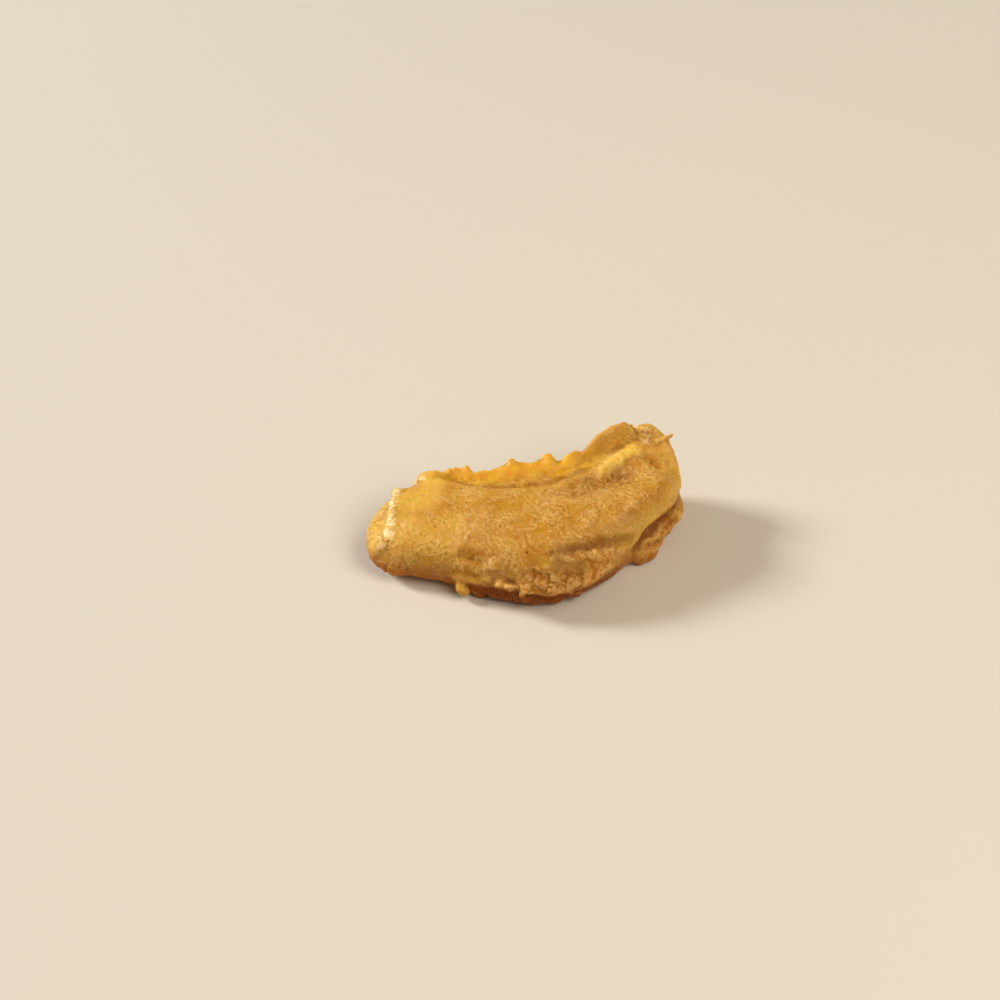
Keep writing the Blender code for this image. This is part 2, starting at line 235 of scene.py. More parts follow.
SHELF = ((53.6, 5.3, 13), (54, -1.7, 10), (49.6, -5.7, 7.5), (45.1, -8.7, 5.5), (40.1, -12.7, 3.5),
         (34.6, -14.7, 2))
GROOVE = ((3.1, -21, 20.5), (7.6, -20.7, 20.6), (16.1, -20.2, 20.5), (20.9, -19.4, 20), (26.1, -18.2, 18.8),
          (31.6, -16.6, 17.3))
SKIRT = ((-5.4, -24.2, 14), (1.6, -25.7, 14.5), (8.6, -25.7, 14.5), (15.6, -23.7, 16), (23.6, -21.2, 15.5))
LIP = ((-9.5, -25.7, 11.1), (-5.3, -26.1, 11.2), (-1.5, -27.4, 12), (2.3, -28, 11.7), (5.6, -28.5, 12.3),
       (10, -28, 12.8), (14.3, -27.3, 13.4), (18.3, -25.6, 13.2), (22.4, -23.7, 12.5))
END_RIDGE = ((-41.9, 22.8, 17), (-43.4, 18.8, 17.5), (-45.4, 13.8, 17), (-46.9, 8.8, 16.5),
             (-48.4, 5.3, 15.5))
END_CRUST = ((-52.4, 6.8, 12), (-50.4, 11.8, 13.5), (-46.4, 18.8, 15.5))
NOSE = ((-51.4, 6.3, 14.9), (-50.7, 3.1, 14.5), (-52.7, 2.3, 13.4))
CALM = ((-41, 17, 19), (-34, 14, 21), (-33, 4, 20))
SHOULDER = ((-40, 18, 19), (-34, 14, 21), (-30, 20, 20))
POCKET = ((-25.2, -11.6, 16.8), (-22.8, -12.6, 16), (-19.7, -14.6, 16.6), (-18, -15, 18))
HOLLOW = ((3.3, -24.9, 18), (7.1, -25, 17.8), (11.4, -24.9, 16.4))
SHOULDER_EDGE = ((-36.4, 24.6, 19), (-33.6, 25.5, 20.2), (-31.4, 25.8, 20.9))
CROWN = ((46.9, 19.9, 29.9), (46.6, 18.5, 28.6), (46.6, 17.2, 27.6))
SHELF_CRUMBS = ((48.7, -5, 13.2), (51, -5.1, 11.1), (53.3, -5.2, 9.5))
FLAP_INNER = ((31, 17.5, 26.5), (36, 17, 27), (40, 17, 28))
FLAP_START = ((24, 19.5, 24), (30, 20, 26))
LEFT_FACE = ((-46, 8, 16), (-42, 4, 18), (-36, 0, 19), (-30, -2, 20))
HANGING_DROP = ((-26.8, -12.4, 6.5), (-27.6, -14, 4.2))
DIM = ((18, 3, 25), (27, 3, 26.5), (34, 2.5, 27.5))
SHELF_LINE = ((36.6, -13.4, 8.6), (40.2, -12, 8), (43.2, -10.3, 9), (45.3, -8, 10.4))
fin_length = sum(math.dist(start, end) for start, end in zip(FIN_TIP[:-1], FIN_TIP[1:]))
print("the fin runs for", round(fin_length), "mm")

# %% [markdown]
# An area with a ruled edge would look drawn. So the points are first shifted by two sizes of smooth noise,
# and only then is their distance from a line taken. This noise starts from the clock unless it is given a
# seed, so it gets one, and the piece comes out the same each time.

# %% Distance from a line
WANDER = ((4.0, 0.9), (1.5, 0.4))
WANDER_SEED = 5


def wandered(points):
    """The points shifted by smooth noise, so that what is drawn near them comes out uneven, as batter is."""
    seed_set(WANDER_SEED)
    moved = points.copy()
    for size, amount in WANDER:
        moved += amount * np.array([noise_vector(Vector(point / size)) for point in points])
    return moved


def nearness(points, path, reach, core=0.0):
    """1 within the core of a line and 0 beyond its reach, in millimetres, fading smoothly between."""
    path = np.array(path, float)
    nearest = np.full(len(points), np.inf)
    for start, end in zip(path[:-1], path[1:]):
        along = end - start
        share = np.clip((points - start) @ along / (along @ along), 0, 1)
        nearest = np.minimum(nearest, np.linalg.norm(points - start - share[:, None] * along, axis=1))
    fade = np.clip((reach - nearest) / (reach - core), 0, 1)
    return fade * fade * (3 - 2 * fade)


def ramp(values, low, high):
    """0 below low, 1 above high, smooth between."""
    share = np.clip((values - low) / (high - low), 0, 1)
    return share * share * (3 - 2 * share)


def any_of(*masks):
    """The strongest of several masks at each point."""
    return np.max(masks, axis=0)


print("areas wander by up to about", WANDER[0][1] + WANDER[1][1], "mm")

# %% [markdown]
# Some forms of the crust are single features that anyone would point at: a ledge with a pocket over it, the
# foamy clumps above the lip, a few long wrinkles, a thin seam. They are sculpted like clay strokes. Each
# stroke is a short line with the height it adds or takes away and how wide it is.

# %% Strokes of the crust
STROKE_CORE = 0.15
STROKES = (
    ("lip", 0.55, 2.8, LIP),
    ("near foot", 2.0, 6.5, ((-24, -17, 1.5), (-20, -19, 1.5), (-12, -24, 1.5), (-4, -27, 1.5),
                             (2, -28, 1.5))),
    ("end foot", 1.2, 8, ((-54, 4, 4), (-53, -1, 3.5), (-50, -4.5, 2.5))),
    ("shelf foot", -1.4, 5, ((53, -2, 4), (49, -7, 3))),
    ("nub foot", -1.6, 4, ((47, -9.3, 2.5), (44.5, -11.8, 2.5))),
    ("shelf corner", 1.2, 4, ((41.5, -11.5, 2.5), (37, -13.5, 2))),
    ("shoulder edge", -0.8, 6, ((-38.5, 25.5, 18.5), (-35, 26.5, 18.5))),
    ("fin start", 1.0, 3.5, ((-27, 26, 19), (-22, 26.5, 20.5))),
    ("fin edge", -0.5, 3, ((-13, 24, 21.5), (-4, 23, 22.5), (5.2, 21.6, 23), (15.4, 19.4, 23.2))),
    ("wall under the lip", -0.5, 2.6, ((-12, -23, 7.5), (-4, -26.5, 7.5), (5, -28, 8), (13, -27, 8.5),
                                       (20, -24, 8.5))),
    ("ledge", 0.4, 3.2, ((-26, -12.6, 13.6), (-24, -13.8, 14), (-21.3, -15.6, 14.3), (-18.7, -17.7, 15.6),
                         (-16, -18.4, 17.5))),
    ("ledge knob", 0.4, 3.0, ((-16.6, -17.6, 18), (-15.2, -18.3, 18))),
    ("pocket start", -0.4, 3.0, ((-26.4, -10.8, 17), (-24.6, -11.6, 16.6))),
    ("pocket floor", 0.4, 2.2, ((-21.4, -13, 16.6), (-20.4, -13.4, 17))),
    ("small clumps", 0.5, 1.9, ((2.5, -22.6, 20.3), (5, -22.3, 20.6), (7.2, -23.3, 19.9))),
    ("skirt lump 1", 0.6, 2.0, ((-3, -25, 14.4), (-1.5, -25.8, 13.8))),
    ("skirt lump 2", 0.7, 2.2, ((1.6, -26, 14.6), (3, -26.4, 14))),
    ("skirt lump 3", 0.6, 1.8, ((5.6, -26.2, 14.4), (6.6, -26.8, 14))),
    ("large clump", 0.9, 3.0, ((12.7, -22.4, 20), (15.2, -23.5, 19.4), (17, -23, 19))),
    ("right clump", 0.5, 2.0, ((21.5, -21.3, 18.3), (23.5, -20.6, 18))),
    ("foam cave", -0.6, 2.0, ((-5.6, -23.4, 16.5), (-3, -24.6, 15.6), (-0.1, -25.8, 15.4))),
    ("wrinkle 1", 0.3, 1.3, ((4.6, -0.9, 24.9), (7.1, -3.3, 25.3), (9.3, -5.8, 25.3), (11.4, -8.3, 25.4))),
    ("wrinkle 2", 0.26, 1.2, ((7.4, -1.6, 25.3), (10.5, -3.9, 25.5), (11.5, -6.4, 25.5))),
    ("wrinkle 3", 0.26, 1.2, ((-0.4, -5.1, 24.6), (2.3, -6.8, 24.7), (3.7, -8.4, 25), (5.2, -10.5, 24.9))),
    ("wrinkle 4", 0.2, 1.2, ((-6, -9.5, 24), (-3.5, -10.3, 24.2), (-1, -11, 24.2))),
    ("wrinkle 5", 0.22, 1.2, ((24, 1, 26.5), (26.5, -1, 26.8), (28, -3.5, 26.8))),
    ("crack 1", -0.2, 1.0, ((-5, -12, 23.6), (-4.7, -14.9, 23.1), (-3.6, -17.7, 22.2), (-2.1, -19.7, 21.4))),
    ("crack 2", -0.2, 1.0, ((22.2, -5.3, 26.5), (22.4, -8.1, 26.4), (22.2, -10.2, 26))),
    ("valley", -0.45, 3.2, ((7.4, 4.6, 24.6), (11.6, 2.6, 25), (16.1, -0.2, 25.8), (20.6, -3.3, 26.3))),
    ("seam", 0.2, 0.8, ((-28.3, 14.2, 21.9), (-27, 12.1, 22.1), (-26.1, 9.9, 22.2), (-25.2, 7.6, 22.3),
                        (-24.7, 5.4, 22.5))),
    ("end ridge", 0.35, 2.8, END_RIDGE),
    ("end lump 1", 0.3, 1.6, ((-50.5, 16, 13), (-48.3, 18, 14.4))),
    ("end lump 2", 0.3, 1.6, ((-51.9, 11, 14.1), (-51.4, 8, 14.5))),
    ("nose lump", 0.4, 2, NOSE),
    ("fold ridge", 0.55, 5.0, FOLD_CREST),
    ("fold valley", -0.4, 3.2, ((43.1, 12.7, 26.9), (45.2, 9.7, 26.4), (46.6, 5.8, 26), (46.8, 1.5, 27))),
    ("dim valley", -0.5, 6, DIM),
    ("lobe wrinkle", 0.24, 1.2, ((36, 3, 27.5), (40, 1.5, 27.5), (44, -1.5, 27))),
    ("shelf crumbs", 0.7, 2.4, SHELF_CRUMBS),
    ("shelf line", 0.8, 1.8, SHELF_LINE),
    ("crown drop", 0.8, 1.9, ((45.6, 21.5, 29.6), (47.9, 19.4, 30))),
)


def strokes(points):
    """What the strokes add at each point, in millimetres."""
    return sum(height * nearness(points, path, width, STROKE_CORE * width)
               for _, height, width, path in STROKES)


print(len(STROKES), "strokes")

# %% [markdown]
# Where a stroke needs calm ground, the base is melted a little first: its points move towards their
# neighbours, only near the foam, the fold and the pocket. The areas are then stored on the mesh as named
# attributes, one number for each point. Both Geometry Nodes and the material can read them by name, so the
# relief and the colour of an area always lie in the same place.

# %% Areas as attributes
def areas(points, normals):
    """Every area's strength at every point. Points are in millimetres."""
    points = wandered(points)
    x, y, z = points.T

    def near(path, reach, core=0.0):
        return nearness(points, path, reach, core)

    # low_wall and under_skirt place painted shade on the low walls near the table
    low_wall = ramp(-z, -13, -4) * ramp(-normals[:, 2], -0.65, 0.0) * (1 - 0.6 * ramp(x, 22, 34))
    under_skirt = low_wall * (0.3 + 0.7 * ramp(x, -27, -17))
    far_wall = ramp(y, 2, 8) * ramp(-normals[:, 2], -0.35, 0.1) * ramp(normals[:, 1], -0.1, 0.3)
    foamy = any_of(near(SKIRT, 7, 1.5), near(LIP, 5, 1), near(UNDERCUT, 5, 1), near(SHELF, 5, 1),
                   0.3 * near(POCKET, 5, 1), 0.7 * far_wall)
    return {
        "fin": near(FIN_TIP, 9.5, 3.5),
        "lip": any_of(near(FIN_TIP, 2.6), near(FLAP_TIP, 2.8), near(RIM, 3), near(LOBE_LIP, 3),
                      near(LIP, 3.4)),
        "foam": foamy * (1 - 0.8 * near(HOLLOW, 4.5, 2)),
        "end": any_of(near(END_RIDGE, 3.4, 0.6), 0.75 * near(END_CRUST, 6, 1.5)),
        # the ridge area paints pale glints, a painted highlight, on the end ridge, shoulder edge, nose and
        # crown
        "ridge": any_of(near(END_RIDGE, 3.0, 0.6), 0.8 * near(SHOULDER_EDGE, 2.6), 0.7 * near(NOSE, 2.6),
                        0.7 * near(CROWN, 2.2)),
        # the fold area is painted light: a paler yellow where faces turn to the light, on the fold, shoulder,
        # flap, rim, lobe, shelf crumbs, hanging drop and left face
        "fold": any_of(near(FOLD_RIDGE, 3.6, 0.6), 0.55 * near(SHOULDER, 8, 2), 0.25 * near(FLAP_TIP, 7, 3),
                       0.55 * near(RIM, 5, 1), 0.35 * near(LOBE_LIP, 8, 2), 0.5 * near(FLAP_INNER, 6, 2),
                       0.8 * near(SHELF_CRUMBS, 2.4), 0.7 * near(SHELF_LINE, 1.5),
                       0.4 * near(HANGING_DROP, 3.6, 2.4), 0.35 * near(LEFT_FACE, 10, 2)),
        "shade": any_of(0.65 * near(GROOVE, 3.6, 0.5), near(UNDERCUT, 4, 1), under_skirt,
                        0.6 * near(FIN_CREASE, 3), 0.3 * near(SHELF, 5, 1), 0.4 * near(HOLLOW, 4, 1),
                        0.15 * near(POCKET, 4.5, 1), 0.4 * near(FLAP_START, 6, 1.5), 0.45 * near(DIM, 8, 1)),
        # the under area is painted shade in a toasted brown, on the low walls and on faces that turn down
        "under": (1 - 0.7 * near(HANGING_DROP, 3.6, 2.4)) * any_of(low_wall, ramp(-normals[:, 2], 0.0, 0.6)),
        "calm": near(CALM, 13, 3),
        "stroke": strokes(points),
    }


def mark_areas(mesh):
    """Store the areas on the mesh."""
    normals = np.zeros(len(mesh.vertices) * 3)
    mesh.vertices.foreach_get("normal", normals)
    for name, strength in areas(points_of(mesh) / MM, normals.reshape(-1, 3)).items():
        attribute = mesh.attributes.new(name, "FLOAT", "POINT")
        attribute.data.foreach_set("value", strength.astype(np.float32))


SOFT_ROUNDS = 24
SOFT_LINES = ((SKIRT, 4.5, 1.5), (GROOVE, 4.5, 1), (FOLD_RIDGE, 6, 2.5), (POCKET, 5, 2))
soft = any_of(*(nearness(points_of(base) / MM, *line) for line in SOFT_LINES))
smoothed(base, SOFT_ROUNDS, (SHRINK,), soft[:, None])
mark_areas(base)
print("areas:", [name for name in base.attributes.keys() if not name.startswith(".")])

# %% [markdown]
# ## Wiring nodes from code
#
# The crust's relief and its colours are both made by node trees. Placing nodes by hand is one way. Here
# short helpers add a node, set or connect its inputs and give back its output, so that a tree reads like a
# sum.

# %% Helpers for node trees
def wire(tree, kind, inputs=None, **settings):
    """Add a node with its settings, and connect or set its inputs, which are given by name or number."""
    node = tree.nodes.new(kind)
    for name, value in settings.items():
        setattr(node, name, value)
    for key, value in (inputs or {}).items():
        if isinstance(value, bpy.types.NodeSocket):
            tree.links.new(value, node.inputs[key])
        else:
            node.inputs[key].default_value = value
    return node


def calc(tree, operation, *values, clamp=False):
    """One Math node; its values are numbers or sockets."""
    node = wire(tree, "ShaderNodeMath", dict(enumerate(values)), operation=operation, use_clamp=clamp)
    return node.outputs[0]


def times(tree, *values):
    """The product of numbers or sockets."""
    product = values[0]
    for value in values[1:]:
        product = calc(tree, "MULTIPLY", product, value)
    return product


def plus(tree, first, second, clamp=False):
    """The sum of two numbers or sockets."""
    return calc(tree, "ADD", first, second, clamp=clamp)


def minus(tree, first, second, clamp=False):
    """The first number or socket less the second."""
    return calc(tree, "SUBTRACT", first, second, clamp=clamp)


def scaled(tree, vector, amount):
    """A vector times one number."""
    return wire(tree, "ShaderNodeVectorMath", {0: vector, "Scale": amount}, operation="SCALE").outputs[0]


def stretch(tree, value, low, high, out_low=0.0, out_high=1.0):
    """A value from one range mapped smoothly to another."""
    numbers = {"Value": value, "From Min": low, "From Max": high, "To Min": out_low, "To Max": out_high}
    return wire(tree, "ShaderNodeMapRange", numbers, interpolation_type="SMOOTHSTEP").outputs[0]


def named(tree, name):
    """A float attribute of the mesh, in Geometry Nodes."""
    node = wire(tree, "GeometryNodeInputNamedAttribute", {"Name": name}, data_type="FLOAT")
    return node.outputs[0]


# %% [markdown]
# A Geometry Nodes tree gets named inputs for its sizes. When it has run on a mesh, the result is turned
# into a plain mesh, so that no modifier is left on the finished piece.

# %% Making and running a tree
def geometry_tree(name, sizes):
    """An empty Geometry Nodes tree with the geometry and named sizes as inputs."""
    tree = bpy.data.node_groups.new(name, "GeometryNodeTree")
    tree.interface.new_socket("Geometry", in_out="INPUT", socket_type="NodeSocketGeometry")
    tree.interface.new_socket("Geometry", in_out="OUTPUT", socket_type="NodeSocketGeometry")
    for size, value in sizes.items():
        kind = "NodeSocketInt" if isinstance(value, int) else "NodeSocketFloat"
        tree.interface.new_socket(size, in_out="INPUT", socket_type=kind).default_value = value
    return tree, tree.nodes.new("NodeGroupInput").outputs, tree.nodes.new("NodeGroupOutput").inputs


def run_tree(mesh, tree, sizes, name):
    """The mesh after the tree, with the tree's inputs set by their identifiers."""
    thing = new_object(name, mesh)
    modifier = thing.modifiers.new(name, "NODES")
    modifier.node_group = tree
    for socket in tree.interface.items_tree:
        if socket.in_out == "INPUT" and socket.name in sizes:
            modifier[socket.identifier] = sizes[socket.name]
    return baked(thing, name)


# %% [markdown]
# ## Small set drops
#
# Where batter drips off into hot oil it sets in small round drops and nodules along the lips and in the
# foam. They repeat by the hundred, so a Geometry Nodes tree scatters them: it spreads points over the skin
# with a density that follows the areas, puts a small ball on each, turned and sized at random from one
# fixed seed, and joins them to the base.

# %% Scatter the drops
DROPS = {"Smallest": 0.35, "Largest": 0.85, "Spacing": 1.7, "Seed": 4}
MOST_DROPS = 3e5
DROP_SHAPE = {"X": 1.15, "Y": 1.0, "Z": 0.75}
batter = bpy.data.materials.new("fried batter")


def drop_tree():
    """Base in, base with small drops out; sizes in millimetres."""
    tree, given, out = geometry_tree("set drops", DROPS)
    plain_lip = minus(tree, named(tree, "lip"), named(tree, "fin"), clamp=True)
    wanted = plus(tree, times(tree, plain_lip, 0.2), times(tree, named(tree, "foam"), 0.3))
    wanted = plus(tree, wanted, times(tree, named(tree, "end"), 0.35), clamp=True)
    scatter = wire(tree, "GeometryNodeDistributePointsOnFaces", {
        "Mesh": given["Geometry"], "Distance Min": times(tree, given["Spacing"], MM),
        "Density Max": MOST_DROPS, "Density Factor": wanted, "Seed": given["Seed"]},
        distribute_method="POISSON")
    ball = wire(tree, "GeometryNodeMeshIcoSphere", {"Radius": 1.0, "Subdivisions": 2})
    sizes = {2: given["Smallest"], 3: given["Largest"], "Seed": given["Seed"]}
    size = wire(tree, "FunctionNodeRandomValue", sizes, data_type="FLOAT").outputs[1]
    flat = wire(tree, "ShaderNodeCombineXYZ", DROP_SHAPE).outputs[0]
    drops = wire(tree, "GeometryNodeInstanceOnPoints", {
        "Points": scatter.outputs["Points"], "Instance": ball.outputs["Mesh"],
        "Rotation": scatter.outputs["Rotation"], "Scale": scaled(tree, flat, times(tree, size, MM))})
    joined = wire(tree, "GeometryNodeJoinGeometry")
    tree.links.new(drops.outputs[0], joined.inputs[0])
    tree.links.new(given["Geometry"], joined.inputs[0])
    real = wire(tree, "GeometryNodeRealizeInstances", {"Geometry": joined.outputs[0]})
    finished = wire(tree, "GeometryNodeSetMaterial", {"Geometry": real.outputs[0], "Material": batter})
    tree.links.new(finished.outputs[0], out["Geometry"])
    return tree


dropped = run_tree(base, drop_tree(), DROPS, "drops")
print("with its drops the mesh has", len(dropped.polygons), "faces")

# %% [markdown]
# A few drops are too large and too plain to see to be left to chance: one hangs under the lip, one lies on
# the low wall like a crescent, and a thin spur sticks out from the rim. Each is a finger: a short row of
# balls from its root to its tip, which the next remesh fuses with the rest.

# %% Fingers of batter
FINGERS = (
    ("rim spur", 1.3, 0.75, (50.8, 15.4, 27.6), (55.6, 16, 29)),
    ("left fin knob", 1.2, 0.9, (-19.8, 26, 19.8), (-14.6, 24.4, 19.6)),
    ("middle fin knob", 1.2, 1.1, (-0.8, 22.3, 22.5), (2.4, 21.5, 22.3)),
    ("round fin lobe", 1.9, 1.9, (11.3, 20.7, 22.9), (12.9, 20.3, 22.9)),
    ("hanging drop", 2.4, 2.3, (-26.8, -12.4, 6.5), (-27.6, -14, 4.2)),
    ("crescent", 1.1, 0.8, (-13.6, -22.7, 10.4), (-10.6, -24, 11.2)),
    ("low spur", 1.4, 0.8, (-9.2, -25.5, 8.4), (-8.2, -27, 11)),
    ("near drop", 1.5, 1.1, (8.6, -27.6, 10.8), (9.4, -28.6, 12)),
    ("shelf nub", 1.9, 1.0, (43.8, -10.6, 4.5), (46.4, -9.8, 8.6)),
)
FINGER_BALLS = 6


def with_fingers(mesh):
    """The mesh with every finger added as overlapping balls."""
    joined = bmesh.new()
    joined.from_mesh(mesh)
    for _, root_radius, tip_radius, root, tip in FINGERS:
        for ball in range(FINGER_BALLS):
            share = ball / (FINGER_BALLS - 1)
            middle = Vector(root).lerp(Vector(tip), share) * MM
            radius = (root_radius + (tip_radius - root_radius) * share) * MM
            place = Matrix.Translation(middle)
            bmesh.ops.create_icosphere(joined, subdivisions=2, radius=radius, matrix=place)
    joined.to_mesh(mesh)
    joined.free()
    return mesh


dropped = with_fingers(dropped)
print(len(FINGERS), "fingers of batter")

# %% [markdown]
# ## Fuse it into one skin
#
# The drops only overlap the base so far. A second remesh at a finer grid joins all of it into one closed
# skin, as set batter is, and a short smoothing rounds the joints. The areas are marked again, because
# remeshing makes new points.

# %% One closed skin
SKIN_GRID = 0.44 * MM
SKIN_ROUNDS = 3
skin = remeshed(dropped, SKIN_GRID, "skin")
smoothed(skin, SKIN_ROUNDS)
mark_areas(skin)
print("the skin has", len(skin.polygons), "faces")

# %% [markdown]
# ## Relief of the crust
#
# What the hand would feel comes next, as real geometry rather than a painted bump. Every part of it is a
# noise or cell pattern read at the point's own place. Batter ran down the fish before it set, so its
# wrinkles all lean one way: their pattern is read at a place that is turned and squeezed first.

# %% Patterns
FLOW_TURN = math.radians(-58)
FLOW_SQUEEZE = (0.62, 1.0, 0.85)
BEND_SIZE = 14
BEND_AMOUNT = 7.0
SHAKE_SIZE = 1.6
SHAKE_AMOUNT = 2.4
MIDDLE = (0.5, 0.5, 0.5)


def noise(tree, place, size, detail=2.0, roughness=0.5):
    """Noise with features of about a size in millimetres, from 0 to 1."""
    inputs = {"Vector": place, "Scale": 1 / size, "Detail": detail, "Roughness": roughness}
    return wire(tree, "ShaderNodeTexNoise", inputs).outputs[0]


def cells(tree, place, size, smooth=0.35):
    """Distance to the nearest of scattered centres, in cell sizes, rounded where cells meet."""
    inputs = {"Vector": place, "Scale": 1 / size, "Smoothness": smooth}
    return wire(tree, "ShaderNodeTexVoronoi", inputs, feature="SMOOTH_F1").outputs["Distance"]


def shifted(tree, place, size, detail, amount):
    """The place moved every way by smooth noise of a size, both in millimetres."""
    inputs = {"Vector": place, "Scale": 1 / size, "Detail": detail}
    shift = wire(tree, "ShaderNodeTexNoise", inputs).outputs["Color"]
    shift = wire(tree, "ShaderNodeVectorMath", {0: shift, 1: MIDDLE}, operation="SUBTRACT").outputs[0]
    shift = scaled(tree, shift, amount)
    return wire(tree, "ShaderNodeVectorMath", {0: place, 1: shift}, operation="ADD").outputs[0]


def flowed(tree, place):
    """The place turned and squeezed, so that a pattern on it comes out as short leaning streaks."""
    moved = shifted(tree, place, BEND_SIZE, 1.0, BEND_AMOUNT)
    turned = wire(tree, "ShaderNodeVectorRotate", {"Vector": moved, "Axis": (0, 0, 1), "Angle": -FLOW_TURN},
                  rotation_type="AXIS_ANGLE").outputs[0]
    return wire(tree, "ShaderNodeVectorMath", {0: turned, 1: FLOW_SQUEEZE}, operation="MULTIPLY").outputs[0]


def shaken(tree, place):
    """The place moved a little at random, so that round cells come out uneven."""
    return shifted(tree, place, SHAKE_SIZE, 2.0, SHAKE_AMOUNT)


def patches(tree, place, calm):
    """Where the skin wrinkled much, 1, or hardly, near 0; a calm area stays smooth."""
    much = stretch(tree, noise(tree, place, 9.0), 0.34, 0.6, 0.12, 1.0)
    return times(tree, much, minus(tree, 1.0, times(tree, calm, 0.85)))


# %% [markdown]
# The relief has ten parts, and for each the tree has an input that sets how much of it there is: the
# strokes, an inset that makes room for what rises, low lumps, streaky wrinkles, longer folds, blisters,
# froth, boiled pits in the foam, a crinkle along the lips and a fine grain. The tree adds them up and moves
# each point along its normal. Near the table the relief fades out, so that the piece lies flat.

# %% Relief tree
RELIEF = {"Strokes": 1.0, "Inset": 0.18, "Lumps": 0.4, "Wrinkles": 0.16, "Folds": 0.2, "Blisters": 0.22,
          "Foam": 0.22, "Pits": 0.22, "Crinkle": 0.4, "Grain": 0.12}
FLECK = 1.0
FLAT_BELOW = 0.15
FULL_ABOVE = 1.2


def skin_relief(tree, given, place, fin, foam):
    """Heights of what covers the plain skin: lumps, wrinkles, folds and blisters."""
    plain = minus(tree, 1.0, calc(tree, "MAXIMUM", foam, times(tree, fin, 0.6)), clamp=True)
    lumps = minus(tree, noise(tree, place, 4.6), 0.5)
    lumps = times(tree, lumps, times(tree, given["Lumps"], stretch(tree, fin, 0, 1, 2.0, 1.0)))

    streaks = stretch(tree, noise(tree, flowed(tree, place), FLECK, 3.0, 0.7), 0.3, 0.72)
    streaks = times(tree, minus(tree, streaks, 0.5), given["Wrinkles"], plain)
    streaks = times(tree, streaks, patches(tree, place, named(tree, "calm")))

    offset = calc(tree, "ABSOLUTE", minus(tree, noise(tree, flowed(tree, place), 3.0), 0.5))
    some = stretch(tree, noise(tree, place, 7.5, 1.0), 0.46, 0.6)
    folds = times(tree, stretch(tree, offset, 0.06, 0.01), some, given["Folds"], plain)

    domes = stretch(tree, cells(tree, place, 2.3), 0.45, 0.1)
    few = stretch(tree, noise(tree, place, 6.5, 1.0), 0.5, 0.68)
    domes = times(tree, times(tree, domes, few), times(tree, given["Blisters"], plain))
    return lumps, streaks, folds, domes


def foam_relief(tree, given, place, foam):
    """Heights of the froth of the foam and of the pits that boiled in it."""
    froth = stretch(tree, cells(tree, shaken(tree, place), 2.4, 0.2), 0.6, 0.1)
    froth = times(tree, minus(tree, froth, 0.5), times(tree, foam, given["Foam"]))
    holes = stretch(tree, cells(tree, shaken(tree, place), 1.6, 0.25), 0.36, 0.1)
    open_patch = stretch(tree, noise(tree, place, 3.2, 1.0), 0.53, 0.66)
    return froth, times(tree, holes, open_patch, foam, given["Pits"])


def edge_relief(tree, given, place, foam):
    """Heights of the crinkle along lips, foam and dried end, and of the fine grain."""
    lips = times(tree, named(tree, "lip"), 0.6)
    rest = plus(tree, times(tree, foam, 0.8), times(tree, named(tree, "end"), 0.8))
    crinkle = times(tree, minus(tree, noise(tree, place, 2.1, 3.0, 0.6), 0.5), 2.0)
    crinkle = times(tree, crinkle, times(tree, plus(tree, lips, rest, clamp=True), given["Crinkle"]))
    grain = times(tree, minus(tree, noise(tree, place, 0.8, 1.0), 0.5), times(tree, given["Grain"], 2.0))
    return crinkle, grain


def relief_tree():
    """Skin in, skin with its crust out; heights in millimetres."""
    tree, given, out = geometry_tree("crust relief", RELIEF)
    place = scaled(tree, wire(tree, "GeometryNodeInputPosition").outputs[0], 1 / MM)
    fin, foam = named(tree, "fin"), named(tree, "foam")
    uneven = stretch(tree, noise(tree, place, 2.6), 0.3, 0.7, 0.55, 1.45)
    clay = times(tree, named(tree, "stroke"), uneven, given["Strokes"])
    lumps, streaks, folds, domes = skin_relief(tree, given, place, fin, foam)
    froth, pits = foam_relief(tree, given, place, foam)
    crinkle, grain = edge_relief(tree, given, place, foam)

    rise = lumps
    for part in (clay, streaks, folds, domes, froth, crinkle, grain):
        rise = plus(tree, rise, part)
    rise = minus(tree, minus(tree, rise, pits), given["Inset"])
    level = wire(tree, "ShaderNodeSeparateXYZ", {0: place}).outputs[2]
    rise = times(tree, rise, stretch(tree, level, FLAT_BELOW, FULL_ABOVE))

    normal = wire(tree, "GeometryNodeInputNormal").outputs[0]
    moved = wire(tree, "GeometryNodeSetPosition", {
        "Geometry": given["Geometry"], "Offset": scaled(tree, normal, times(tree, rise, MM))})
    real = wire(tree, "GeometryNodeRealizeInstances", {"Geometry": moved.outputs[0]})
    finished = wire(tree, "GeometryNodeSetMaterial", {"Geometry": real.outputs[0], "Material": batter})
    tree.links.new(finished.outputs[0], out["Geometry"])
    return tree


crust = run_tree(skin, relief_tree(), RELIEF, "crust")
print("the crust has", len(crust.polygons), "faces")

# %% [markdown]
# Hollows of a crust get painted shade, and the tops of its wrinkles a painted highlight. To paint them, each
# point is compared with the mean of its surroundings: a point that lies below that mean is in a hollow. A
# small surrounding finds single wrinkles, and a wide one finds grooves and overhangs. Both depths are stored
# as attributes.

# %% Depth of hollows
CREASE_ROUNDS = 4
HOLLOW_ROUNDS = 60


def averaged(points, first, second, rounds):
    """Each point moved to the mean of itself and its neighbours, some rounds over."""
    shares = neighbour_count(first, second, len(points))[:, None] + 1
    for _ in range(rounds):
        points = (points + neighbour_sum(points, first, second)) / shares
    return points


